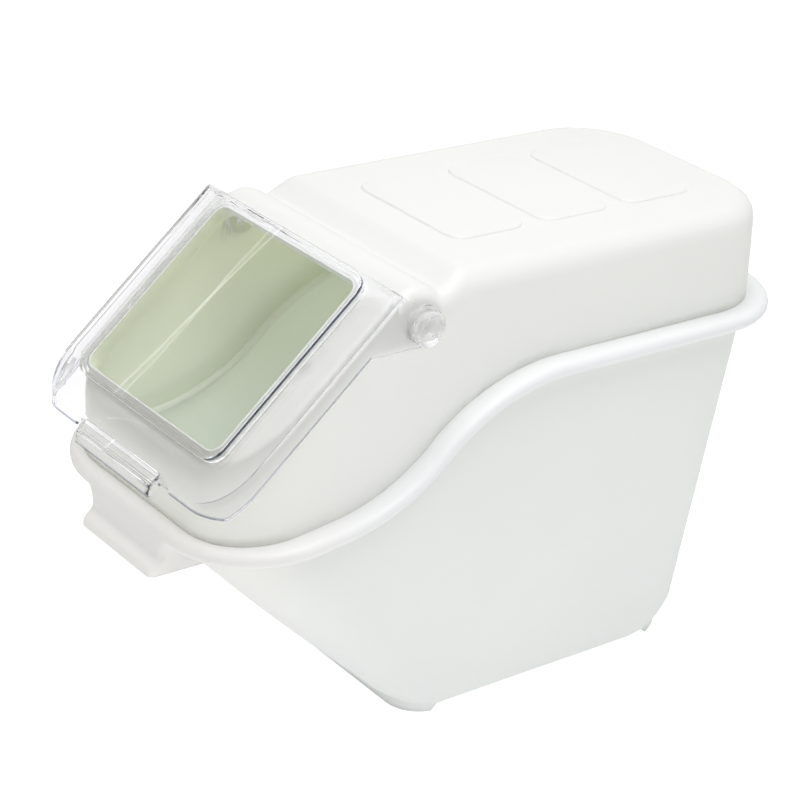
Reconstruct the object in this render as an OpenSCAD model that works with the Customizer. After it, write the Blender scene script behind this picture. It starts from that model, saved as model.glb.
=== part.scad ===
// Rice bin with a flip lid: tub, lift-off hood, clear lid and two pivot pins.
// Millimetres, +Z up, the mouth faces -Y, origin under the middle of the bin.

/* [Rim] */
// half width of the rim
rim_half = 145; // [135:1:160]
// straight side of the rim starts here
rim_front_y = -199; // [-206:0.1:-190]
// straight side of the rim ends here
rim_rear_y = 205.8; // [198:0.1:215]
// corner radius of the rim at the front
rim_front_r = 85; // [75:1:92]
// corner radius of the rim at the rear
rim_rear_r = 92; // [82:1:100]
// height of the lip's lower edge at the rear
rim_rear_z = 307; // [295:1:315]
// height of the lip's lower edge at the front of the ramp
rim_low_z = 212; // [204:1:220]
// middle of the ramp
ramp_mid_y = -85; // [-95:1:-75]
// radius of both bends of the ramp
ramp_r = 165; // [150:1:180]
// fall of the rim towards the front, degrees
front_fall = 8.4; // [4:0.1:10]
// depth of the rim's lip
lip_depth = 11.5; // [10:0.5:14]
// distance from the rim's edge to the outside of the wall
flange_w = 20; // [18:0.5:24]
// distance from the rim's front edge to the hood
front_flange = 12; // [9:0.1:14]

/* [Tub] */
// wall of the tub and of the hood
wall = 3; // [2.5:0.1:3.5]
// how far each side of the base stands in from the rim's edge
base_inset = 41; // [36:1:46]
// front of the base
base_front_y = -71; // [-85:1:-60]
// rear of the base
base_rear_y = 241; // [232:1:246]
// corner radius of the base at the front
base_front_r = 32; // [28:1:45]
// corner radius of the base at the rear
base_rear_r = 46; // [40:1:55]
// bulge of the sloping front wall
wall_bow = 6; // [0:0.5:8]
// height of the feet
foot_h = 6; // [4:0.5:8]
// width of the feet
foot_w = 11; // [9:0.5:14]

/* [Grip] */
// half width of the grip under the front of the rim
grip_half = 50.5; // [40:0.5:60]
// height of the grip's lower edge
grip_low_z = 169.3; // [163:0.5:178]
// wall of the grip
grip_wall = 3.5; // [3:0.1:5]

/* [Hood] */
// how far each side of the hood's foot stands in from the rim's edge
hood_inset = 19.5; // [18.5:0.1:21]
// how far each side of the hood leans in from foot to top
hood_draw = 4; // [2.5:0.5:6]
// height of the hood's top
hood_top_z = 402.5; // [398:0.5:408]
// corner radius of the hood's foot at the front
hood_front_r = 60; // [55:1:65]
// rounding of the hood's top edge
hood_edge_r = 18; // [12:1:22]
// depth of the hood's spigot inside the tub
spigot = 12; // [9:0.5:14]
// wall of the spigot
spigot_wall = 2.4; // [2.2:0.1:3]
// height of the three raised panels on top
panel_h = 2; // [1:0.5:3]
// distance from the hood's side to the raised panels
panel_side = 55.5; // [45:0.5:70]
// length of one raised panel
panel_len = 74; // [60:1:80]
// distance from one raised panel to the next
panel_pitch = 89.3; // [82:0.1:92]
// front of the first raised panel
panel_y = -34.9; // [-40:0.1:-30]

/* [Mouth] */
// distance from the hood's side to the mouth
mouth_side = 35.5; // [34.5:0.5:50]
// distance from the lid's front to the mouth, down the slope
mouth_front = 30.3; // [29:0.1:45]
// wall of the raised edge round the mouth
mouth_wall = 2.5; // [2:0.1:3]
// corner radius of the mouth
mouth_r = 10; // [8:1:20]

/* [Lid] */
// how far each side of the lid stands out from the hood
lid_out = 2.5; // [2.5:0.1:3.5]
// thickness of the lid
lid_wall = 2.5; // [2:0.1:2.5]
// rise of the window over the lid's plate
window_h = 8.75; // [8.5:0.25:10]
// corner radius of the lid at the front
lid_r = 33; // [28:1:40]
// depth of the lid's side below its plate
skirt = 16.5; // [14:0.5:18]
// half width of the thumb tab
tab_half = 52; // [40:1:60]

/* [Pivot] */
// pivot axis, front to rear
pivot_y = -110.5; // [-112:0.5:-109]
// distance from the hood's top down to the pivot axis
pivot_drop = 31.4; // [30.5:0.1:32]
// radius of the pins' shanks
pin_r = 5.95; // [5:0.05:6.5]
// radius of the pins' heads
knob_r = 14; // [12:0.5:15]
// height of the pins' heads
knob_h = 9; // [7:0.5:10]
// radius of the lid's ears
ear_r = 16.5; // [16:0.5:18]

/* [Hidden] */

base_half = rim_half - base_inset;
hood_foot_half = rim_half - hood_inset;
hood_top_half = hood_foot_half - hood_draw;
lid_half = hood_foot_half + lid_out;
pivot_z = hood_top_z - pivot_drop;
white = [0.93, 0.94, 0.92];
clear = [0.8, 0.85, 0.88, 0.5];

fit_gap = 0.4;        // between the hood and the tub's rim
side_gap = 0.5;       // between the spigot and the tub's wall
shank_gap = 0.05;     // pin in the hood's bore
ear_gap = 0.1;        // pin in the lid's ear
bend_n = 10;          // steps round each corner

function mix(a, b, t) = a + (b - a) * t;
function steps(a, b, n) = [for (k = [0:n - 1]) mix(a, b, k / n)];
function softer_max(a, b, k) = max(a, b) + pow(max(k - abs(a - b), 0), 2) / (4 * k);
function softer_min(a, b, k) = min(a, b) - pow(max(k - abs(a - b), 0), 2) / (4 * k);

// ---- the rim's curve, seen from the side ----
ramp_a = acos(1 - (rim_rear_z - rim_low_z) / (2 * ramp_r));
ramp_rear = ramp_mid_y + ramp_r * sin(ramp_a);
ramp_front = ramp_mid_y - ramp_r * sin(ramp_a);
fall_y = ramp_front + ramp_r * sin(front_fall);
fall_z = rim_low_z + ramp_r * (1 - cos(front_fall));

function rim_low(y) =
    y > ramp_rear ? rim_rear_z :
    y > ramp_mid_y ? rim_rear_z - ramp_r + sqrt(pow(ramp_r, 2) - pow(ramp_rear - y, 2)) :
    y > fall_y ? rim_low_z + ramp_r - sqrt(pow(ramp_r, 2) - pow(y - ramp_front, 2)) :
    fall_z - (fall_y - y) * tan(front_fall);
function rim_lean(y) =
    y > ramp_rear ? 0 :
    y > ramp_mid_y ? asin((ramp_rear - y) / ramp_r) :
    y > fall_y ? asin((y - ramp_front) / ramp_r) : front_fall;
// height at a distance d over the lip's lower edge, square to the curve
function rim_z(y, d) = rim_low(y) + d / cos(rim_lean(y));

// ---- rings of points round the bin ----
// one point of half an outline: corner, side stations, corner
function outline_pt(c, w, rf, rb, ya, yb, st) =
    let (n = len(st))
    c <= bend_n ? let (a = 90 * c / bend_n - 90) [w - rf + rf * cos(a), ya + rf * sin(a)] :
    c <= bend_n + n ? [w, st[c - bend_n - 1]] :
    let (a = 90 * (c - bend_n - n - 1) / bend_n) [w - rb + rb * cos(a), yb + rb * sin(a)];
function columns(st) = 2 * bend_n + 2 + len(st);
function both_sides(half) = let (n = len(half))
    concat(half, [for (c = [n - 1:-1:0]) [-half[c][0], half[c][1], half[c][2]]]);

// closed skin over a stack of rings, the first and the last capped across
module ring_skin(rings) {
    n = len(rings[0]);
    h = n / 2;
    last = (len(rings) - 1) * n;
    sides = [for (r = [0:len(rings) - 2], c = [0:n - 1]) let (a = r * n + c, b = r * n + (c + 1) % n)
        each [[a, b + n, b], [a, a + n, b + n]]];
    first_cap = [for (c = [0:h - 2]) each
        [[c, c + 1, n - 2 - c], [c, n - 2 - c, n - 1 - c]]];
    last_cap = [for (f = first_cap) [f[2] + last, f[1] + last, f[0] + last]];
    polyhedron([for (r = rings) each r], concat(sides, first_cap, last_cap), convexity = 8);
}

// closed slab between an outer and an inner sheet of points
module slab(outer, inner) {
    m = len(outer);
    n = len(outer[0]);
    q = m * n;
    face = [for (r = [0:m - 2], c = [0:n - 2]) let (a = r * n + c)
        each [[a, a + n + 1, a + 1], [a, a + n, a + n + 1]]];
    back = [for (f = face) [f[2] + q, f[1] + q, f[0] + q]];
    low = [for (c = [0:n - 2]) each [[c, c + 1, c + 1 + q], [c, c + 1 + q, c + q]]];
    high = [for (c = [0:n - 2]) let (a = (m - 1) * n + c)
        each [[a, a + q, a + 1], [a + 1, a + q, a + 1 + q]]];
    start = [for (r = [0:m - 2]) let (a = r * n) each [[a, a + q, a + n], [a + n, a + q, a + n + q]]];
    end = [for (r = [0:m - 2]) let (a = r * n + n - 1)
        each [[a, a + n, a + q], [a + n, a + n + q, a + q]]];
    polyhedron([for (r = concat(outer, inner)) each r],
        concat(face, back, low, high, start, end), convexity = 6);
}

// ---- tub ----
first_st = rim_front_y + 8;
rim_st = concat(steps(first_st, ramp_mid_y, 11), steps(ramp_mid_y, ramp_rear, 11),
    steps(ramp_rear, rim_rear_y, 5));
rim_tip_y = rim_front_y - rim_front_r;
wall_front_y = rim_tip_y + 7;
wall_front_r = 62;
wall_ya = wall_front_y + wall_front_r;
base_ya = base_front_y + base_front_r;
base_yb = base_rear_y - base_rear_r;
base_st = [for (y = rim_st)
    mix(base_ya, base_yb, (y - first_st + 8) / (rim_rear_y - first_st + 8))];
tub_cols = columns(rim_st);
front_foot_y = base_ya - 4;
rear_foot_y = base_yb + 6;

function rim_pt(c, in, d) = let (p = outline_pt(c, rim_half - in, rim_front_r - in,
    rim_rear_r - in, rim_front_y, rim_rear_y, rim_st)) [p[0], p[1], rim_z(p[1], d)];
function wall_pt(c, in, d) = let (p = outline_pt(c, rim_half - flange_w - in, wall_front_r - in,
    rim_rear_r - flange_w - in, wall_ya, rim_rear_y, rim_st)) [p[0], p[1], rim_z(p[1], d)];
function base_pt(c, in, z) = let (p = outline_pt(c, base_half - in, base_front_r - in,
    base_rear_r - in, base_ya, base_yb, base_st)) [p[0], p[1], z];
function base_y(c) = base_pt(c, 0, 0)[1];
function has_foot(c) = base_y(c) < front_foot_y || base_y(c) > rear_foot_y;
// rounding of the base's edge, larger towards the rear
function base_bend(c) = mix(2.5, 9, max(0, min(1, (base_y(c) - base_yb + 20) / 40)));
function rim_ring(in, d) = both_sides([for (c = [0:tub_cols - 1]) rim_pt(c, in, d)]);
function inner_ring(in, z) = both_sides([for (c = [0:tub_cols - 1]) base_pt(c, in, z)]);
// a ring at the base: inset, height where there is a foot, height elsewhere, each with a share of the bend
function base_ring(in, k_in, foot_z, k_foot, z, k_z) = both_sides([for (c = [0:tub_cols - 1])
    let (e = base_bend(c))
    base_pt(c, in + k_in * e, has_foot(c) ? foot_z + k_foot * e : z + k_z * e)]);
// the front wall bulges, most at two thirds of its height
function bow_at(v) = wall_bow * sin(180 * pow(max(0, min(1, v)), 1.6));
function facing_front(c) = c < bend_n ? cos(90 * c / bend_n) : 0;
function wall_ring(v, in_base, z, in, d) = both_sides([for (c = [0:tub_cols - 1])
    mix(base_pt(c, in_base, z), wall_pt(c, in, d), v) - [0, bow_at(v) * facing_front(c), 0]]);

under = lip_depth - wall;
floor_z = foot_h + wall;
bend_v = 0.08;
wall_v = [0.2, 0.35, 0.5, 0.65, 0.8, 0.9];
in_gap = wall * 1.07;
// section of the rim's edge: distance in from the edge, height over the lower edge
rim_section = [[6.4, 0.7], [4.6, -0.4], [2.4, 0.4], [0.7, 2.4], [0, 5.4], [0.6, 8], [2.4, 10.2],
    [5, 11.3], [8, 11.5]];

module tub() {
    color(white) union() {
        ring_skin(concat(
            [base_ring(foot_w + 1.5, 1, foot_h, 0, foot_h, 0),
             base_ring(foot_w, 1, 0, 0, foot_h, 0),
             base_ring(0, 1, 0, 0, foot_h, 0),
             base_ring(-0.6, 1, foot_h / 2, 0.9, foot_h, 0.1),
             base_ring(0, 0.6, foot_h, 0.9, foot_h, 0.4),
             base_ring(0, 0.2, foot_h, 1.5, foot_h, 1.2),
             wall_ring(bend_v, 0, foot_h, 0, under)],
            [for (v = wall_v) wall_ring(v, 0, foot_h, 0, under)],
            [wall_ring(1, 0, foot_h, 0, under),
             rim_ring(6, under),
             rim_ring(4, under - 1.5),
             rim_ring(3.6, 4.8),
             rim_ring(5, 2.5)],
            [for (p = rim_section) rim_ring(p[0], p[1])],
            [rim_ring(flange_w + wall - 1, lip_depth),
             rim_ring(flange_w + wall, lip_depth - 1),
             rim_ring(flange_w + wall, under)],
            [for (k = [len(wall_v):-1:0])
                wall_ring(k == len(wall_v) ? 1 : wall_v[k], in_gap, floor_z, wall, under - 1.5)],
            [wall_ring(bend_v, in_gap, floor_z, wall, under - 1.5),
             inner_ring(in_gap + 1.5, floor_z + 10),
             inner_ring(in_gap + 5, floor_z + 3.5),
             inner_ring(in_gap + 12, floor_z)]));
        grip();
    }
}

// ---- grip under the front of the rim ----
grip_top_z = rim_z(rim_tip_y, 5.6);
grip_r = 6;
grip_rows = 12;
grip_flare = 8.7;     // how far its lower edge stands out
grip_lip = 3.5;       // height of the lower edge's upright face
grip_turn = 16;       // height over which the flare ends
grip_spread = 10;     // how much wider it gets where it joins the rim
function wall_share(z) = (z - foot_h) / (rim_z(wall_front_y, under) - foot_h);
function tub_front_y(z) = mix(base_front_y, wall_front_y, wall_share(z)) - bow_at(wall_share(z));
function ease(s) = s * s * (3 - 2 * s);
function grip_y(z) = rim_tip_y + 0.15
    - grip_flare * ease(max(0, min(1, 1 - (z - grip_low_z - grip_lip) / (grip_turn - grip_lip))));
function grip_w(t) = grip_half + grip_spread * pow(t, 4);
function grip_path(t, in) = let (z = mix(grip_low_z, grip_top_z, t), w = grip_w(t) - in,
        yf = grip_y(z) + in, yw = tub_front_y(z) + wall / 2, r = grip_r - in)
    concat([[-w, yw, z], [-w, mix(yw, yf + r, 0.5), z]],
        [for (k = [0:6]) let (a = 180 + 15 * k) [r - w + r * cos(a), yf + r + r * sin(a), z]],
        [for (k = [0:6]) let (a = 270 + 15 * k) [w - r + r * cos(a), yf + r + r * sin(a), z]],
        [[w, mix(yw, yf + r, 0.5), z], [w, yw, z]]);
module grip() {
    slab([for (k = [0:grip_rows]) grip_path(k / grip_rows, 0)],
        [for (k = [0:grip_rows]) grip_path(k / grip_rows, grip_wall)]);
}

// ---- lid plane and mouth plane: +X right, +Y up the slope, +Z outwards ----
lid_y = pivot_y - 23.5;
lid_z = hood_top_z - 3;
lid_foot_z = rim_low_z + 35.8;    // level lower edge at the front
lid_tip_y = -289;
lid_nose = 4;         // depth of the sloped edge between plate and front skirt
lid_front_h = 13.33;  // from the lower edge to the front of the plate
plate_rise = lid_z - lid_foot_z - lid_front_h;
plate_run = lid_y - lid_tip_y - lid_nose;
slope = atan(plate_rise / plate_run);
plate_len = plate_run / cos(slope);
plane_gap = 4;        // from the hood's slope to the top of the lid's plate
mouth_start = 10.5;   // from the lid's rear edge to the mouth
mouth_w = 2 * (hood_foot_half - mouth_side);
mouth_len = plate_len - mouth_start - mouth_front;
mouth_top = window_h - lid_wall - 0.5;
module on_slope(h) {
    translate([0, lid_y, lid_z]) rotate([slope, 0, 0]) translate([0, 0, h]) children();
}
// heights of a plane parallel to the lid's at depth h below it
function slope_z(y, h) = lid_z + (y - lid_y) * tan(slope) - h / cos(slope);

// ---- hood ----
neck_r = 27.3;        // round neck in front of the shoulder
neck_wall_y = lid_y - 0.4;
neck_foot_y = pivot_y - 18.8;
shoulder_y = pivot_y + 44.5;
valley_y = pivot_y + 22.5;
shoulder_end_y = shoulder_y + 10;
ramp_k = 0.647;
function round_z(y, r) = pivot_z + sqrt(max(pow(r, 2) - pow(y - pivot_y, 2), 0));
function body_z(y, t) = softer_min(hood_top_z - t, hood_top_z - t * 1.2 + (y - shoulder_y) * ramp_k, 3);
function hood_z(y, t) =
    y <= neck_wall_y + 0.01 ? slope_z(y, plane_gap + t) :
    y < neck_foot_y ? mix(slope_z(neck_wall_y, plane_gap + t), round_z(neck_foot_y, neck_r - t),
        (y - neck_wall_y) / (neck_foot_y - neck_wall_y)) :
    softer_max(round_z(y, neck_r - t), body_z(y, t), 4);
hood_ya = rim_tip_y + front_flange + hood_front_r;
hood_st = concat(steps(first_st, neck_wall_y, 6), steps(neck_wall_y, neck_foot_y, 2),
    steps(neck_foot_y, valley_y, 10), steps(valley_y, shoulder_end_y, 9),
    steps(shoulder_end_y, ramp_rear, 8),
    steps(ramp_rear, rim_rear_y, 5));
hood_cols = columns(hood_st);
top_draw = hood_foot_half - hood_top_half;
hood_rear_r = rim_rear_r - flange_w + 0.5;

// rounding of the hood's upper edge: beside the mouth, on the neck, behind the shoulder
slope_edge_r = 5;
neck_edge_r = 11;
function edge_r(y) = y < neck_wall_y + 1 ? slope_edge_r :
    mix(neck_edge_r, hood_edge_r, max(0, min(1, (y - pivot_y - 14.5) / 26)));
function hood_pt(c, draw, in) = outline_pt(c, hood_foot_half - draw - in,
    hood_front_r - draw * 0.4 - in, hood_rear_r - draw * 0.2 - in, hood_ya, rim_rear_y, hood_st);
function hood_foot_pt(c, in, d) = let (p = hood_pt(c, 0, in)) [p[0], p[1], rim_z(p[1], d)];
function hood_edge_pt(c, a, t) = let (y = hood_pt(c, top_draw, 0)[1], r = edge_r(y) - t,
    p = hood_pt(c, top_draw, t + r * (1 - cos(a)))) [p[0], p[1], hood_z(p[1], t) - r * (1 - sin(a))];
function hood_foot_ring(in, d) = both_sides([for (c = [0:hood_cols - 1]) hood_foot_pt(c, in, d)]);
function hood_edge_ring(a, t) = both_sides([for (c = [0:hood_cols - 1]) hood_edge_pt(c, a, t)]);
function hood_wall_ring(v, t) = both_sides([for (c = [0:hood_cols - 1])
    mix(hood_foot_pt(c, t, lip_depth + fit_gap), hood_edge_pt(c, 0, t), v)]);
function spigot_ring(in, d) = both_sides([for (c = [0:hood_cols - 1])
    let (p = outline_pt(c, rim_half - in, rim_front_r - in, rim_rear_r - in,
        rim_front_y, rim_rear_y, hood_st)) [p[0], p[1], rim_z(p[1], d)]]);
spigot_in = flange_w + wall + side_gap;
spigot_draft = 2;     // the spigot narrows downwards with the tub's wall
edge_a = [0, 22.5, 45, 67.5, 90];

module hood_shell() {
    ring_skin(concat(
        [for (k = [4:-1:0]) hood_edge_ring(edge_a[k], wall)],
        [for (v = [0.7, 0.4, 0.12]) hood_wall_ring(v, wall)],
        [spigot_ring(spigot_in + spigot_wall, lip_depth - 1),
         spigot_ring(spigot_in + spigot_draft + spigot_wall - 0.3, lip_depth - spigot),
         spigot_ring(spigot_in + spigot_draft, lip_depth - spigot),
         spigot_ring(spigot_in, lip_depth + fit_gap),
         hood_foot_ring(0, lip_depth + fit_gap)],
        [for (v = [0.12, 0.4, 0.7]) hood_wall_ring(v, 0)],
        [for (k = [0:4]) hood_edge_ring(edge_a[k], 0)]));
}
function corner_pts(w, l, r) = [for (q = [0:3], k = [0:6])
    let (a = 90 * q + 15 * k, cx = (q == 0 || q == 3 ? 1 : -1) * (w / 2 - r),
        cy = (q < 2 ? 1 : -1) * (l / 2 - r)) [cx + r * cos(a), cy + r * sin(a)]];
module rounded_plate(w, l, r, h) {
    linear_extrude(h) polygon(corner_pts(w, l, r));
}
boss_x = hood_foot_half - 0.5;    // face of the pivot boss
boss_in = boss_x - 15;            // inner end of the pivot boss
module at_pivot(x) {
    translate([x, pivot_y, pivot_z]) rotate([0, 90, 0]) children();
}
module mouth_cut() {
    on_slope(-3 * plane_gap) translate([0, -mouth_start - mouth_len / 2, 0])
        rounded_plate(mouth_w, mouth_len, mouth_r, 30);
}
module mouth_edge() {
    on_slope(-plane_gap - wall) translate([0, -mouth_start - mouth_len / 2, 0])
        rounded_plate(mouth_w + 2 * mouth_wall, mouth_len + 2 * mouth_wall,
            mouth_r + mouth_wall, plane_gap + wall + mouth_top);
}
panel_r = 14;
panel_half = hood_top_half - panel_side;
module hood() {
    color(white) difference() {
        union() {
            hood_shell();
            mouth_edge();
            for (side = [-1, 1]) at_pivot(side > 0 ? boss_in : -boss_x)
                cylinder(r = knob_r - 1, h = boss_x - boss_in, $fn = 64);
            for (k = [0:2]) translate([0, panel_y + k * panel_pitch + panel_len / 2, hood_top_z - 1.5])
                rounded_plate(2 * panel_half, panel_len, panel_r, panel_h + 1.5);
        }
        mouth_cut();
        for (side = [-1, 1]) at_pivot(side > 0 ? boss_in - 1 : -boss_x - 1)
            cylinder(r = pin_r + shank_gap, h = boss_x - boss_in + 2, $fn = 64);
    }
}

// ---- lid ----
rear_wall = 6;
ear_x = lid_half - lid_wall;
// side view of the lid, t inside its skin
function lid_side(t, deep) = [
    [lid_y + deep, slope_z(lid_y + deep, t)],
    [lid_tip_y + lid_nose, slope_z(lid_tip_y + lid_nose, t)],
    [lid_tip_y + t, slope_z(lid_tip_y + lid_nose, t) - lid_nose - 1],
    [lid_tip_y + t, lid_foot_z - deep],
    [lid_y - (slope_z(lid_y, skirt) - lid_foot_z) / tan(slope), lid_foot_z - deep],
    [lid_y + deep, slope_z(lid_y + deep, skirt) - deep]];
module lid_prism(t, deep) {
    intersection() {
        translate([t - lid_half, 0, 0]) rotate([90, 0, 90])
            linear_extrude(2 * (lid_half - t)) polygon(lid_side(t, deep));
        translate([0, 0, lid_foot_z - 2 * skirt]) linear_extrude(plate_rise + 5 * skirt) polygon(concat(
            [for (k = [0:8]) let (a = 180 + 11.25 * k)
                [lid_r - lid_half + (lid_r - t) * cos(a), lid_tip_y + lid_r + (lid_r - t) * sin(a)]],
            [for (k = [0:8]) let (a = 270 + 11.25 * k)
                [lid_half - lid_r + (lid_r - t) * cos(a), lid_tip_y + lid_r + (lid_r - t) * sin(a)]],
            [[lid_half - t, pivot_y + ear_r], [t - lid_half, pivot_y + ear_r]]));
    }
}
window_w = mouth_w + 13;
window_at = 3.5;      // from the lid's rear edge
window_len = plate_len - window_at - 22.3;
window_r = 14;
// ear, and the web that joins it to the skirt
ear_low_z = pivot_z - ear_r;
module ear() {
    at_pivot(0) cylinder(r = ear_r, h = lid_wall, $fn = 72);
    rotate([90, 0, 90]) linear_extrude(lid_wall) polygon([
        [lid_y, slope_z(lid_y, 0.5)],
        [pivot_y + ear_r * cos(25), pivot_z + ear_r * sin(25)],
        [pivot_y, pivot_z],
        [pivot_y, ear_low_z],
        [lid_y - (slope_z(lid_y, skirt - 3) - ear_low_z) / tan(slope), ear_low_z],
        [lid_y - 30, slope_z(lid_y - 30, 3)]]);
}
// thumb tab: heights are from the lid's lower edge
tab_y = lid_tip_y - 8.8;
tab_top = 10.7;
tab_bend = 2.2;
tab_drop = 7.1;
tab_wall = 4;
relief_w = 14;        // relief in the skirt at each end of the tab
relief_h = 3;
module tab() {
    translate([-tab_half, 0, lid_foot_z]) rotate([90, 0, 90]) linear_extrude(2 * tab_half) polygon([
        [lid_tip_y + 1, tab_top], [tab_y + 2, tab_bend + 2.5], [tab_y, tab_bend], [tab_y, -tab_drop],
        [tab_y + lid_wall, -tab_drop], [tab_y + lid_wall, tab_bend - 0.5],
        [lid_tip_y + 1, tab_top - tab_wall]]);
}
module lid() {
    color(clear) difference() {
        union() {
            difference() {
                lid_prism(0, 0);
                lid_prism(lid_wall, 8);
            }
            on_slope(-rear_wall) translate([-lid_half, -lid_wall, 0])
                cube([2 * lid_half, lid_wall, rear_wall - 0.5]);
            on_slope(-1) translate([0, -window_at - window_len / 2, 0])
                rounded_plate(window_w, window_len, window_r, window_h + 1);
            for (side = [-1, 1]) translate([side > 0 ? ear_x : -lid_half, 0, 0]) ear();
            tab();
        }
        on_slope(-lid_wall - 1) translate([0, -window_at - window_len / 2, 0])
            rounded_plate(window_w - 2 * lid_wall, window_len - 2 * lid_wall,
                window_r - lid_wall, window_h + 1);
        for (side = [-1, 1]) at_pivot(side > 0 ? ear_x - 1 : -lid_half - 1)
            cylinder(r = pin_r + ear_gap, h = lid_wall + 2, $fn = 64);
        for (side = [-1, 1])
            translate([side > 0 ? tab_half : -tab_half - relief_w, lid_tip_y - 1, lid_foot_z - 1])
                cube([relief_w, lid_wall + 2, relief_h + 1]);
    }
}

// ---- pivot pins ----
shank_len = 13;
knob_gap = 0.4;
module pin_shape() {
    difference() {
        union() {
            translate([0, 0, -shank_len]) cylinder(r = pin_r, h = shank_len + 1, $fn = 64);
            rotate_extrude($fn = 72) polygon([[0, 0], [knob_r, 0], [knob_r, knob_h - 2],
                [knob_r - 2, knob_h], [0, knob_h]]);
        }
        translate([0, 0, knob_h - 2.5]) cylinder(r = knob_r - 4.5, h = 3, $fn = 64);
    }
}
module pivot_pin_right() {
    color(clear) at_pivot(lid_half + knob_gap) pin_shape();
}
module pivot_pin_left() {
    color(clear) mirror([1, 0, 0]) at_pivot(lid_half + knob_gap) pin_shape();
}

tub();
hood();
lid();
pivot_pin_left();
pivot_pin_right();
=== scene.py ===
import bmesh
import bpy
import math
from mathutils import Euler, Matrix, Vector
from mathutils.bvhtree import BVHTree


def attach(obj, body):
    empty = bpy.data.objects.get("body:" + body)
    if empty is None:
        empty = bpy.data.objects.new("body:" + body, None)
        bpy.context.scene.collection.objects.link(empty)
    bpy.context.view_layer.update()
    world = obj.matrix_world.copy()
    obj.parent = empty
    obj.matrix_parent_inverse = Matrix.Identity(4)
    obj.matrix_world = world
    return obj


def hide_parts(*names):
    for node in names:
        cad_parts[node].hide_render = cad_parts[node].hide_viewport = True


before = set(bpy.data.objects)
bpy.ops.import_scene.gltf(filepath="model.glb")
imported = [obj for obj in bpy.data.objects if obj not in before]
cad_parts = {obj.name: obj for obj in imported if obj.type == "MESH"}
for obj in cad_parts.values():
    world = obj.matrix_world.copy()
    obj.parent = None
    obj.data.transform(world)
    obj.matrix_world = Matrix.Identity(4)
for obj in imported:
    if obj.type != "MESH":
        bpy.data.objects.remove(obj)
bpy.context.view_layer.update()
print("rice bin: frame loaded,", len(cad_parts), "nodes")


# small helpers for the node trees

def newFinish(name):
    finish = bpy.data.materials.new(name)
    finish.use_nodes = True
    tree = finish.node_tree
    tree.nodes.clear()
    return finish, tree


def addNode(tree, kind, **values):
    node = tree.nodes.new(kind)
    for key, value in values.items():
        setattr(node, key, value)
    return node


def setInputs(node, **values):
    for key, value in values.items():      # Base_Color stands for the socket Base Color
        node.inputs[key.replace("_", " ")].default_value = value


def objectPlace(tree, scale=(1, 1, 1)):
    coords = addNode(tree, "ShaderNodeTexCoord")
    mapping = addNode(tree, "ShaderNodeMapping")
    setInputs(mapping, Scale=scale)
    tree.links.new(coords.outputs["Object"], mapping.inputs["Vector"])
    return mapping.outputs["Vector"]


def addSplit(tree, place):
    split = addNode(tree, "ShaderNodeSeparateXYZ")
    tree.links.new(place, split.inputs[0])
    return split.outputs


def addNoise(tree, place, scale, detail=3.0, roughness=0.5):
    noise = addNode(tree, "ShaderNodeTexNoise")
    setInputs(noise, Scale=scale, Detail=detail, Roughness=roughness)
    tree.links.new(place, noise.inputs["Vector"])
    return noise.outputs["Fac"]


def addRange(tree, source, low, high, fromLow=0.0, fromHigh=1.0):
    spread = addNode(tree, "ShaderNodeMapRange")
    setInputs(spread, From_Min=fromLow, From_Max=fromHigh, To_Min=low, To_Max=high)
    tree.links.new(source, spread.inputs["Value"])
    return spread.outputs["Result"]


def addMix(tree, share, first, second):
    # first and second are colours or the sockets that give one
    mix = addNode(tree, "ShaderNodeMix", data_type="RGBA")
    tree.links.new(share, mix.inputs[0])
    for socket, value in ((mix.inputs[6], first), (mix.inputs[7], second)):
        if isinstance(value, tuple):
            socket.default_value = (*value, 1)
        else:
            tree.links.new(value, socket)
    return mix.outputs[2]


def addBump(tree, height, strength, distance):
    bump = addNode(tree, "ShaderNodeBump")
    setInputs(bump, Strength=strength, Distance=distance)
    tree.links.new(height, bump.inputs["Height"])
    return bump.outputs["Normal"]


def addMath(tree, operation, first, second):
    # second is a number or a socket
    node = addNode(tree, "ShaderNodeMath", operation=operation)
    tree.links.new(first, node.inputs[0])
    if isinstance(second, float):
        node.inputs[1].default_value = second
    else:
        tree.links.new(second, node.inputs[1])
    return node.outputs[0]


def letThrough(tree, share, body, tint):
    # a moulded wall that glows with the light behind it
    glow = addNode(tree, "ShaderNodeBsdfTranslucent")
    mix = addNode(tree, "ShaderNodeMixShader")
    out = addNode(tree, "ShaderNodeOutputMaterial")
    mix.inputs[0].default_value = share
    tree.links.new(tint, glow.inputs["Color"])
    tree.links.new(body.outputs[0], mix.inputs[1])
    tree.links.new(glow.outputs[0], mix.inputs[2])
    tree.links.new(mix.outputs[0], out.inputs["Surface"])


# finishes

shell = {
    "tub": ((0.937, 0.945, 0.953), (0.920, 0.930, 0.938)),    # plain, and a touch thinner
    "hood": ((0.940, 0.935, 0.947), (0.925, 0.920, 0.932)),
    "cloud": 5.0,                       # scale of the slow change between the two
    "cloudSpan": (0.35, 0.65),
    "paintedBounceTint": (0.955, 0.940, 0.920),      # painted bounce light, cream-tinted, on the front of either moulding next to the mouth
    "paintedBounceFrom": (-0.30, -0.13),
    "scuffs": 60.0,
    "scuffStretch": (1, 1, 0.25),       # scuffs run up and down
    "roughness": (0.34, 0.46),
    "grain": 900.0,                     # moulded grain, per metre
    "grainBump": 0.06,
    "grainDepth": 0.0004,
    "ior": 1.49,
    "through": 0.18,                    # share of the light that passes a wall
}


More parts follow.
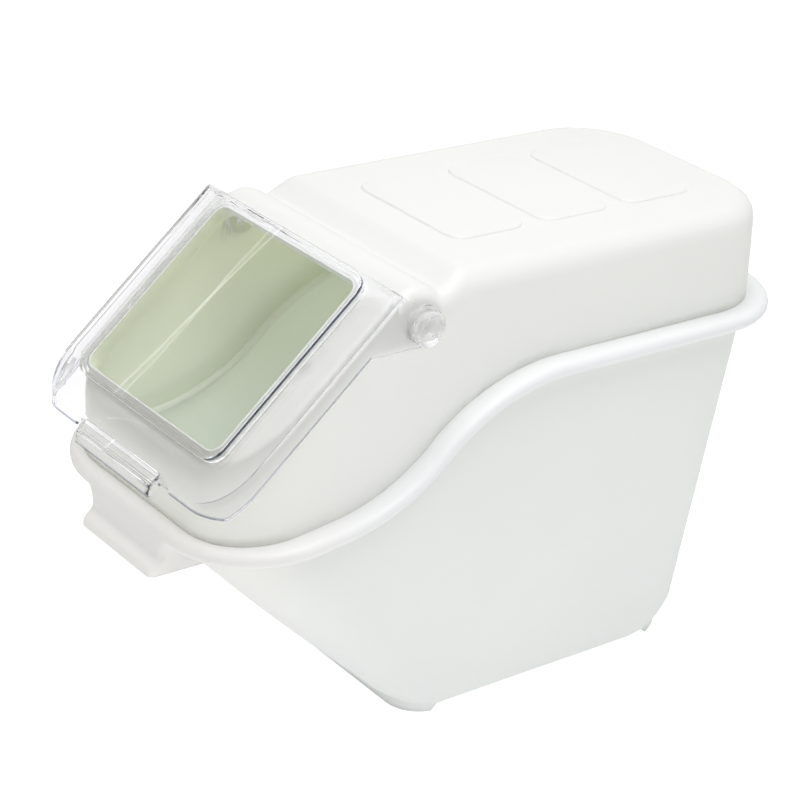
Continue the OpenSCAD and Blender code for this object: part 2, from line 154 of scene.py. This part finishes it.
def whitePlastic(name, colours):
    finish, tree = newFinish(name)
    place = objectPlace(tree)
    cloud = addNoise(tree, place, shell["cloud"], 2.0)
    scuffs = addNoise(tree, objectPlace(tree, shell["scuffStretch"]), shell["scuffs"], 4.0, 0.6)
    grain = addNoise(tree, place, shell["grain"], 2.0)
    # painted bounce light: the share of the cream tint, rising towards the front
    front = addRange(tree, addSplit(tree, place)["Y"], 1, 0, *shell["paintedBounceFrom"])
    tint = addMix(tree, addRange(tree, cloud, 0, 1, *shell["cloudSpan"]), *colours)
    tint = addMix(tree, front, tint, shell["paintedBounceTint"])
    body = addNode(tree, "ShaderNodeBsdfPrincipled")
    setInputs(body, IOR=shell["ior"])
    tree.links.new(tint, body.inputs["Base Color"])
    tree.links.new(addRange(tree, scuffs, *shell["roughness"]), body.inputs["Roughness"])
    tree.links.new(addBump(tree, grain, shell["grainBump"], shell["grainDepth"]), body.inputs["Normal"])
    letThrough(tree, shell["through"], body, tint)
    return finish


inside = {
    "face": ((0.957, 0.988, 0.937), (0.955, 0.985, 0.79)),    # sage, low and high in the bin
    # the bead's tone, paler than the sage around it, is a painted highlight on the seam
    "bead": ((0.98, 0.985, 0.975), (0.975, 0.985, 0.96)),
    "heights": (0.18, 0.38),            # where low ends and high begins
    "pale": (0.92, 0.945, 0.88),
    "paleMost": 0.35,
    "paleSpan": (0.4, 0.7),
    "cloud": 7.0,
    "roughness": (0.22, 0.36),
    "grainBump": 0.05,
    "faceThrough": 0.8,
    "beadThrough": 0.35,
}


def sageInside(name, colours, through):
    finish, tree = newFinish(name)
    place = objectPlace(tree)
    height = addRange(tree, addSplit(tree, place)["Z"], 0, 1, *inside["heights"])
    cloud = addNoise(tree, place, inside["cloud"])
    grain = addNoise(tree, place, shell["grain"], 2.0)
    pale = addRange(tree, cloud, 0, inside["paleMost"], *inside["paleSpan"])
    tint = addMix(tree, pale, addMix(tree, height, *colours), inside["pale"])
    body = addNode(tree, "ShaderNodeBsdfPrincipled")
    tree.links.new(tint, body.inputs["Base Color"])
    tree.links.new(addRange(tree, cloud, *inside["roughness"]), body.inputs["Roughness"])
    tree.links.new(addBump(tree, grain, inside["grainBump"], shell["grainDepth"]), body.inputs["Normal"])
    letThrough(tree, through, body, tint)
    return finish


clear = {
    "window": (0.945, 0.948, 0.955),
    # plate and skirt are greyer copies of the window's clear plastic: painted shade
    "plate": (0.912, 0.912, 0.920),
    "skirt": (0.865, 0.865, 0.885),     # painted shade, greyest on the side walls
    # painted reflection lines: a grey tint for the bands along the lid's edges
    "edge": (0.42, 0.44, 0.52),
    # a painted dark reflection on the window's right-facing top wall
    "paintedDarkReflection": (0.03, 0.045, 0.10),
    "roughness": (0.006, 0.025),
    "knob": (0.95, 0.95, 0.95),
    "knobShare": 0.6,                   # the knobs are part frosted
    "knobRoughness": (0.22, 0.34),
    "wear": 45.0,
    "wearSpan": (0.4, 0.8),
    "waves": 9.0,                       # faint unevenness of a moulded pane
    "waveBump": 0.03,
    "waveDepth": 0.002,
    "shadow": (0.985, 0.987, 0.985),    # what a lamp's light keeps after one face
    "ior": 1.5,
}


def clearPlastic(name, colour, roughness, share=1.0):
    finish, tree = newFinish(name)
    place = objectPlace(tree)
    wear = addNoise(tree, place, clear["wear"], 5.0, 0.65)
    waves = addNoise(tree, place, clear["waves"], 1.0)
    glass = addNode(tree, "ShaderNodeBsdfPrincipled")
    setInputs(glass, Base_Color=(*colour, 1), IOR=clear["ior"], Transmission_Weight=share)
    tree.links.new(addRange(tree, wear, *roughness, *clear["wearSpan"]), glass.inputs["Roughness"])
    tree.links.new(addBump(tree, waves, clear["waveBump"], clear["waveDepth"]), glass.inputs["Normal"])
    through = addNode(tree, "ShaderNodeBsdfTransparent")
    setInputs(through, Color=(*clear["shadow"], 1))
    path = addNode(tree, "ShaderNodeLightPath")
    pick = addNode(tree, "ShaderNodeMixShader")
    out = addNode(tree, "ShaderNodeOutputMaterial")
    tree.links.new(path.outputs["Is Shadow Ray"], pick.inputs[0])
    tree.links.new(glass.outputs[0], pick.inputs[1])
    tree.links.new(through.outputs[0], pick.inputs[2])
    tree.links.new(pick.outputs[0], out.inputs["Surface"])
    return finish


tubFinish = whitePlastic("whiteTubPlastic", shell["tub"])
hoodFinish = whitePlastic("whiteHoodPlastic", shell["hood"])
innerFinish = sageInside("sageInnerFace", inside["face"], inside["faceThrough"])
beadHighlightFinish = sageInside("paintedHighlightBead", inside["bead"], inside["beadThrough"])
clearFinish = clearPlastic("clearPolycarbonate", clear["window"], clear["roughness"])
# the plate and skirt copies carry painted shade
shadedPlateFinish = clearPlastic("clearPlatePaintedShade", clear["plate"], clear["roughness"])
shadedSkirtFinish = clearPlastic("clearSkirtPaintedShade", clear["skirt"], clear["roughness"])
reflectionLinesFinish = clearPlastic("clearPaintedReflectionLines", clear["edge"], clear["roughness"])
darkReflectionFinish = clearPlastic("clearPaintedDarkReflection", clear["paintedDarkReflection"], clear["roughness"])
knobFinish = clearPlastic("frostedKnob", clear["knob"], clear["knobRoughness"], clear["knobShare"])
print("finishes made")


# shells taken from the frame's own solids, welded and shaded smooth

welding = {"distance": 0.00001, "normalWeight": 60}


def addToScene(name, data):
    thing = bpy.data.objects.new(name, data)
    bpy.context.scene.collection.objects.link(thing)
    return thing


def weldedCopy(node):
    bm = bmesh.new()
    bm.from_mesh(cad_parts[node].data)
    bmesh.ops.remove_doubles(bm, verts=bm.verts, dist=welding["distance"])
    return bm


def placePiece(bm, name, body, node, finishes, sharpAt):
    mesh = bpy.data.meshes.new(name)
    bm.to_mesh(mesh)
    bm.free()
    for finish in finishes:
        mesh.materials.append(finish)
    mesh.shade_smooth()
    mesh.set_sharp_from_angle(angle=math.radians(sharpAt))
    piece = addToScene(name, mesh)
    normals = piece.modifiers.new("even shading", "WEIGHTED_NORMAL")
    normals.keep_sharp = True
    normals.weight = welding["normalWeight"]
    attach(piece, body)
    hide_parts(node)


def growInside(bm, start, way, stops):
    # gives the second finish to the face met from start and all that join it short of a stop
    hit = BVHTree.FromBMesh(bm).ray_cast(Vector(start), Vector(way))
    bm.faces.ensure_lookup_table()
    first = bm.faces[hit[2]]
    found = {first}
    waiting = [first]
    while waiting:
        for edge in waiting.pop().edges:
            for other in edge.link_faces:
                if other not in found and not stops(other):
                    found.add(other)
                    waiting.append(other)
    for face in found:
        face.material_index = 1
    return len(found)


# tub

tub = {
    "start": (0, 0.10, 0.15),           # a point in the bin, over its floor
    "way": (0, 0, -1),
    "lipFrom": 0.05,                    # the inner faces end at the rim's flat top
    "flat": 0.6,
    "sharpAt": 38,
}


def tubStop(face):
    return face.normal.z > tub["flat"] and face.calc_center_median().z > tub["lipFrom"]


bm = weldedCopy("tub")
print("tub inside faces:", growInside(bm, tub["start"], tub["way"], tubStop))
placePiece(bm, "tubShell", "tub", "tub", [tubFinish, innerFinish], tub["sharpAt"])


# hood

hood = {
    "start": (0, 0.10, 0.35),           # a point under the hood's roof
    "way": (0, 0, 1),
    "middle": (0, 0.05, 0.30),          # inner faces look towards it
    "wallTilt": 0.35,
    "footTilt": -0.4,
    "footBelow": 0.335,
    "panelFlat": 0.99,
    "panelReach": 0.0002,
    "panelSlope": 0.0016,               # soft edge of the raised panels: width and fall
    "panelFall": 0.0009,
    "sharpAt": 38,
}


def hoodStop(face):
    return face.normal.dot(face.calc_center_median() - Vector(hood["middle"])) > 0


def isInnerWall(face):
    return face.material_index == 1 and abs(face.normal.z) < hood["wallTilt"]


def footPath(bm):
    # the inner edge of the hood's foot, in order round the bin
    nexts = {}
    for edge in bm.edges:
        walls = [face for face in edge.link_faces if isInnerWall(face)]
        feet = [face for face in edge.link_faces if face.normal.z < hood["footTilt"]]
        if len(walls) == 1 and len(feet) == 1 and edge.verts[0].co.z < hood["footBelow"]:
            for first, second in (edge.verts, reversed(edge.verts)):
                nexts.setdefault(first, []).append(second)
    start = max(nexts, key=lambda vert: vert.co.y)
    path = [start]
    while len(path) <= len(nexts):
        onward = [vert for vert in nexts[path[-1]] if vert not in path[-2:] and vert is not start]
        if not onward:
            break
        path.append(onward[0])
    return [vert.co.copy() for vert in path]


def softenPanels(bm):
    top = max(vert.co.z for vert in bm.verts) - hood["panelReach"]
    panels = [face for face in bm.faces
              if face.normal.z > hood["panelFlat"] and face.calc_center_median().z > top]
    border = bmesh.ops.inset_region(bm, faces=panels, thickness=hood["panelSlope"], use_even_offset=True)
    inner = {vert for face in panels for vert in face.verts}
    outer = {vert for face in border["faces"] for vert in face.verts} - inner
    for vert in outer:
        vert.co.z -= hood["panelFall"]


bm = weldedCopy("hood")
print("hood inside faces:", growInside(bm, hood["start"], hood["way"], hoodStop))
seamPath = footPath(bm)
softenPanels(bm)
placePiece(bm, "hoodShell", "hood", "hood", [hoodFinish, innerFinish], hood["sharpAt"])


# bead where hood and tub meet inside: real shape lit by the lamps, with a paler tone that is a painted
# highlight

seam = {"radius": 0.0034, "inset": 0.0008, "raise": 0.0014, "least": 0.002, "middleY": 0.05, "rings": 2}


def seamLine(path):
    points = [path[0]]
    for point in path[1:]:
        if (point - points[-1]).length > seam["least"]:
            points.append(point)
    line = bpy.data.curves.new("seamLine", "CURVE")
    line.dimensions = "3D"
    line.bevel_depth = seam["radius"]
    line.bevel_resolution = seam["rings"]
    spline = line.splines.new("POLY")
    spline.points.add(len(points) - 1)
    spline.use_cyclic_u = True
    for knot, point in zip(spline.points, points):
        inward = Vector((-point.x, seam["middleY"] - point.y, 0)).normalized()
        knot.co = (*(point + inward * seam["inset"] + Vector((0, 0, seam["raise"]))), 1)
    return line


def seamBead(path):
    thread = addToScene("seamThread", seamLine(path))
    bpy.context.view_layer.update()
    mesh = bpy.data.meshes.new_from_object(thread.evaluated_get(bpy.context.evaluated_depsgraph_get()))
    bpy.data.objects.remove(thread)
    mesh.name = "seamBead"
    bm = bmesh.new()
    bm.from_mesh(mesh)
    bmesh.ops.remove_doubles(bm, verts=bm.verts, dist=welding["distance"])
    bmesh.ops.recalc_face_normals(bm, faces=bm.faces[:])
    bm.to_mesh(mesh)
    bm.free()
    mesh.materials.clear()
    mesh.materials.append(beadHighlightFinish)
    mesh.shade_smooth()
    piece = addToScene("seamBead", mesh)
    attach(piece, "hood")


print("foot path points:", len(seamPath))
seamBead(seamPath)


# lid

lid = {
    "slope": 42.5,                      # degrees, the face under the lid
    "windowTop": 0.3938,                # levels along the slope's own upright
    "plateTop": 0.38505,
    "skirtFoot": 0.36855,
    "frontFoot": 0.2478,                # heights of the front skirt's and the tab's lower edge
    "tabFoot": 0.2407,
    "edge": 0.0008,                     # heights of the bands of painted reflection and shadow lines
    "darkReflectionBand": 0.0026,
    "footBand": 0.0015,
    "skirtFrom": 0.1245,                # half width beyond which a wall is skirt
    "frontFrom": -0.2855,
    "cornerFrom": 0.385,                # half width plus distance forward, at the round corners
    "tabFrom": -0.2940,
    "tabHalf": 0.066,                   # with the relief notch beside it
    "flat": 0.9,                        # tilts, as the share of a normal along the upright
    "wall": 0.75,
    "rightward": 0.3,
    "sharpAt": 30,
}

lidFinishes = {
    "window": clearFinish,
    "plate": shadedPlateFinish,
    "edge": reflectionLinesFinish,
    "paintedDarkReflection": darkReflectionFinish,
    "skirt": shadedSkirtFinish,
}


def lidPart(face, up):
    # which of the lid's finishes a face shows, painted reflection and shadow lines among them
    middle = face.calc_center_median()
    level = middle.dot(up)
    tilt = face.normal.dot(up)
    side = abs(middle.x) > lid["skirtFrom"] or abs(middle.x) - middle.y > lid["cornerFrom"]
    tab = middle.y < lid["tabFrom"]
    outer = side or tab or middle.y < lid["frontFrom"]
    atFoot = abs(middle.x) > lid["tabHalf"] and 0 < middle.z - lid["frontFoot"] < lid["footBand"]
    part = "window"
    if abs(tilt) > lid["flat"] and level < lid["plateTop"] + lid["edge"]:
        part = "plate"
    if abs(tilt) < lid["wall"] and level > lid["windowTop"] - lid["edge"]:
        part = "edge"
    # a painted dark reflection along the window's right-facing wall
    elif face.normal.x > lid["rightward"] and level > lid["windowTop"] - lid["darkReflectionBand"]:
        part = "paintedDarkReflection"
    elif outer and abs(tilt) < lid["flat"]:
        if side or tab:
            part = "skirt" if side and middle.x < 0 else "plate"
        if lid["plateTop"] - lid["edge"] < level < lid["plateTop"] and middle.x > 0:
            part = "edge"
        if lid["skirtFoot"] < level < lid["skirtFoot"] + lid["edge"] or atFoot:
            part = "edge"
        # a painted shadow line along the tab's lower edge
        if tab and middle.z < lid["tabFoot"] + lid["edge"]:
            part = "edge"
    if outer and tilt < -lid["flat"] and level < lid["skirtFoot"] + lid["edge"]:
        part = "edge"
    if outer and face.normal.z < -lid["flat"] and abs(middle.z - lid["frontFoot"]) < lid["edge"]:
        part = "edge"
    return part


def finishLid(bm):
    turn = math.radians(lid["slope"])
    up = Vector((0, -math.sin(turn), math.cos(turn)))
    levels = (lid["windowTop"] - lid["edge"], lid["windowTop"] - lid["darkReflectionBand"],
              lid["plateTop"] - lid["edge"], lid["skirtFoot"] + lid["edge"])
    heights = (lid["frontFoot"] + lid["footBand"], lid["tabFoot"] + lid["edge"])
    cuts = [(level, up) for level in levels] + [(height, Vector((0, 0, 1))) for height in heights]
    for level, way in cuts:
        parts = bm.verts[:] + bm.edges[:] + bm.faces[:]
        bmesh.ops.bisect_plane(bm, geom=parts, dist=0.000001, plane_co=way * level, plane_no=way)
    bm.normal_update()
    slots = list(lidFinishes)
    for face in bm.faces:
        face.material_index = slots.index(lidPart(face, up))
    bmesh.ops.triangulate(bm, faces=bm.faces[:])


bm = weldedCopy("lid")
finishLid(bm)
placePiece(bm, "flipLid", "lid", "lid", lidFinishes.values(), lid["sharpAt"])


# pivot pins

pin = {"sharpAt": 30}

for name, node in (("pinLeft", "pivot_pin_left"), ("pinRight", "pivot_pin_right")):
    placePiece(weldedCopy(node), name, "hood", node, [knobFinish], pin["sharpAt"])
print("shells placed")


# studio

studio = {
    "floorSize": 30.0,
    "floorColour": (0.93, 0.93, 0.93),
    "floorGlow": 0.22,                  # light table under the bin
    "floorLift": 0.32,                  # keeps the floor white to the camera
    "skyLight": 0.475,
    "aim": (0, -0.03, 0.2),
    "lamps": (
        # name, place, size, watts
        ("topSoftbox", (0.1, 0.0, 2.8), 1.4, 29.0),
        ("keySoftbox", (1.25, -0.4, 2.35), 1.1, 15.0),
    ),
}


def turned(degrees):
    return Euler([math.radians(angle) for angle in degrees]).to_matrix().to_4x4()


def floorFinish():
    finish, tree = newFinish("studioFloor")
    matt = addNode(tree, "ShaderNodeBsdfDiffuse")
    setInputs(matt, Color=(*studio["floorColour"], 1))
    lift = addNode(tree, "ShaderNodeEmission")
    path = addNode(tree, "ShaderNodeLightPath")
    both = addNode(tree, "ShaderNodeAddShader")
    out = addNode(tree, "ShaderNodeOutputMaterial")
    shown = addMath(tree, "MULTIPLY", path.outputs["Is Camera Ray"], studio["floorLift"])
    tree.links.new(addMath(tree, "ADD", shown, studio["floorGlow"]), lift.inputs["Strength"])
    tree.links.new(matt.outputs[0], both.inputs[0])
    tree.links.new(lift.outputs[0], both.inputs[1])
    tree.links.new(both.outputs[0], out.inputs["Surface"])
    return finish


def makeFloor():
    bm = bmesh.new()
    bmesh.ops.create_grid(bm, x_segments=1, y_segments=1, size=studio["floorSize"] / 2)
    mesh = bpy.data.meshes.new("floor")
    bm.to_mesh(mesh)
    bm.free()
    mesh.materials.append(floorFinish())
    return addToScene("floor", mesh)


def addSky(tree, strength):
    sky = addNode(tree, "ShaderNodeBackground")
    setInputs(sky, Color=(1, 1, 1, 1), Strength=strength)
    return sky.outputs[0]


def makeSky():
    # white where it is seen, mirrored or seen through the lid, and a plain level elsewhere
    world = bpy.data.worlds.new("studio")
    bpy.context.scene.world = world
    world.use_nodes = True
    tree = world.node_tree
    tree.nodes.clear()
    path = addNode(tree, "ShaderNodeLightPath").outputs
    seen = addMath(tree, "MAXIMUM", path["Is Camera Ray"], path["Is Glossy Ray"])
    seen = addMath(tree, "MAXIMUM", seen, path["Is Transmission Ray"])
    direct = addMath(tree, "LESS_THAN", path["Diffuse Depth"], 0.5)
    pick = addNode(tree, "ShaderNodeMixShader")
    out = addNode(tree, "ShaderNodeOutputWorld")
    tree.links.new(addMath(tree, "MULTIPLY", seen, direct), pick.inputs[0])
    tree.links.new(addSky(tree, studio["skyLight"]), pick.inputs[1])
    tree.links.new(addSky(tree, 1.0), pick.inputs[2])
    tree.links.new(pick.outputs[0], out.inputs["Surface"])


def makeSoftbox(name, place, size, watts):
    lamp = bpy.data.lights.new(name, "AREA")
    lamp.shape = "SQUARE"
    lamp.size = size
    lamp.energy = watts
    softbox = addToScene(name, lamp)
    facing = (Vector(studio["aim"]) - Vector(place)).to_track_quat("-Z", "Y")
    softbox.matrix_world = Matrix.Translation(place) @ facing.to_matrix().to_4x4()
    softbox.visible_transmission = False      # the clear lid's shadow rule passes its light already


floor = makeFloor()
makeSky()
for name, place, size, watts in studio["lamps"]:
    makeSoftbox(name, place, size, watts)

# a white card with a bright trim on its edge, which the window mirrors
card = {
    "corner": (-1.042, -0.851, 0.895),
    "turn": (-43.72, -40.74, 80.71),
    "length": 0.46,
    "strips": (("card", 0.5, 0.22), ("cardTrim", 0.002, 0.012)),      # name, width, watts
}

for name, width, watts in card["strips"]:
    lamp = bpy.data.lights.new(name, "AREA")
    lamp.shape = "RECTANGLE"
    lamp.size = card["length"]
    lamp.size_y = width
    lamp.energy = watts
    strip = addToScene(name, lamp)
    middle = Matrix.Translation((card["length"] / 2, width / 2, 0))
    strip.matrix_world = Matrix.Translation(card["corner"]) @ turned(card["turn"]) @ middle
    strip.visible_camera = False

cameraView = {
    "place": (1.4034, -1.1826, 1.0950),
    "turn": (64.676, -4.563, 52.574),
    "lens": 110.7,
    "sensor": 36.0,
}

lens = bpy.data.cameras.new("studioCamera")
lens.lens = cameraView["lens"]
lens.sensor_width = cameraView["sensor"]
lens.sensor_fit = "HORIZONTAL"
lens.clip_end = 100
camera = addToScene("studioCamera", lens)
camera.matrix_world = Matrix.Translation(cameraView["place"]) @ turned(cameraView["turn"])
bpy.context.scene.camera = camera
bpy.context.scene.view_settings.view_transform = "Standard"

cycles = bpy.context.scene.cycles       # clear plastic needs long light paths
cycles.max_bounces = 32
cycles.transmission_bounces = 32
cycles.glossy_bounces = 16
cycles.diffuse_bounces = 12
print("studio ready")
